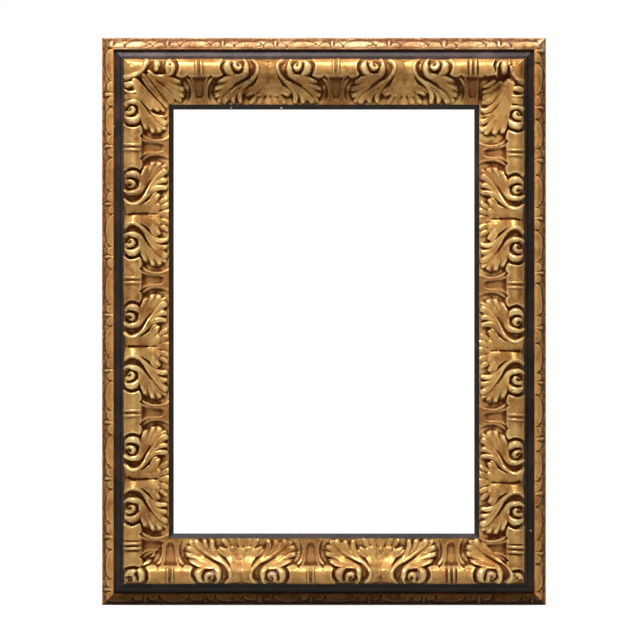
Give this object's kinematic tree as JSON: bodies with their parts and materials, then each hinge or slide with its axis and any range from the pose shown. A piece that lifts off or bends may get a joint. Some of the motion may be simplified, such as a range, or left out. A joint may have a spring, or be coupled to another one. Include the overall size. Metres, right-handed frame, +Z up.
{
  "type": "carved gilded picture frame",
  "caption": "Upright picture frame with a carved gilded acanthus moulding, dark frieze and sight edge, gilded outer edge, open sight with a rebate, hanging rings and turn buttons behind.",
  "frame": {"origin": "centre of the sight opening on the back plane, which faces the wall", "axes": "+Z up, -Y out of the carved front towards the viewer, +X to the viewer's right"},
  "size_m": [0.738, 0.0724, 0.943],
  "materials": {
    "gilded_carving": "worn water gilding over red bole, burnished on the high parts",
    "gilded_edge": "rubbed gilding with punch work over red bole",
    "black_paint": "aged black paint, satin, red bole at worn edges",
    "aged_pine": "old oxidised softwood",
    "peg_wood": "end grain of hardwood pegs",
    "forged_iron": "dark forged iron",
    "aged_brass": "tarnished brass",
    "screw_steel": "dull steel"
  },
  "bodies": {
    "frame": {"back_rail_top": "aged_pine", "outer_moulding_top": "gilded_edge", "frieze_top": "black_paint", "carved_moulding_top": "gilded_carving", "sight_slip_top": "black_paint", "back_rail_bottom": "aged_pine", "outer_moulding_bottom": "gilded_edge", "frieze_bottom": "black_paint", "carved_moulding_bottom": "gilded_carving", "sight_slip_bottom": "black_paint", "back_stile_left": "aged_pine", "outer_moulding_left": "gilded_edge", "frieze_left": "black_paint", "carved_moulding_left": "gilded_carving", "sight_slip_left": "black_paint", "back_stile_right": "aged_pine", "outer_moulding_right": "gilded_edge", "frieze_right": "black_paint", "carved_moulding_right": "gilded_carving", "sight_slip_right": "black_paint", "corner_pegs": "peg_wood", "carved_moulding_nails": "forged_iron", "outer_moulding_nails": "forged_iron", "hanger_plate_left": "aged_brass", "hanger_plate_right": "aged_brass", "turn_button_screws": "screw_steel", "hanger_screws": "screw_steel"},
    "left_ring": {"hanger_ring_left": "aged_brass"},
    "right_ring": {"hanger_ring_right": "aged_brass"},
    "upper_left_button": {"turn_button_upper_left": "aged_brass"},
    "lower_left_button": {"turn_button_lower_left": "aged_brass"},
    "upper_right_button": {"turn_button_upper_right": "aged_brass"},
    "lower_right_button": {"turn_button_lower_right": "aged_brass"},
    "top_button": {"turn_button_top": "aged_brass"},
    "bottom_button": {"turn_button_bottom": "aged_brass"}
  },
  "joints": [
    {"name": "left_ring_swing", "type": "hinge", "parent": "frame", "child": "left_ring", "pos_m": [-0.295, 0.0027, 0.2355], "axis": [1, 0, 0], "range_deg": [0, 182]},
    {"name": "right_ring_swing", "type": "hinge", "parent": "frame", "child": "right_ring", "pos_m": [0.295, 0.0027, 0.2355], "axis": [1, 0, 0], "range_deg": [0, 182]},
    {"name": "upper_left_button_turn", "type": "hinge", "parent": "frame", "child": "upper_left_button", "pos_m": [-0.272, 0.001, 0.15], "axis": [0, 1, 0], "continuous": true},
    {"name": "lower_left_button_turn", "type": "hinge", "parent": "frame", "child": "lower_left_button", "pos_m": [-0.272, 0.001, -0.15], "axis": [0, 1, 0], "continuous": true},
    {"name": "upper_right_button_turn", "type": "hinge", "parent": "frame", "child": "upper_right_button", "pos_m": [0.272, 0.001, 0.15], "axis": [0, 1, 0], "continuous": true},
    {"name": "lower_right_button_turn", "type": "hinge", "parent": "frame", "child": "lower_right_button", "pos_m": [0.272, 0.001, -0.15], "axis": [0, 1, 0], "continuous": true},
    {"name": "top_button_turn", "type": "hinge", "parent": "frame", "child": "top_button", "pos_m": [0, 0.001, 0.3745], "axis": [0, 1, 0], "continuous": true},
    {"name": "bottom_button_turn", "type": "hinge", "parent": "frame", "child": "bottom_button", "pos_m": [0, 0.001, -0.3745], "axis": [0, 1, 0], "continuous": true}
  ]
}
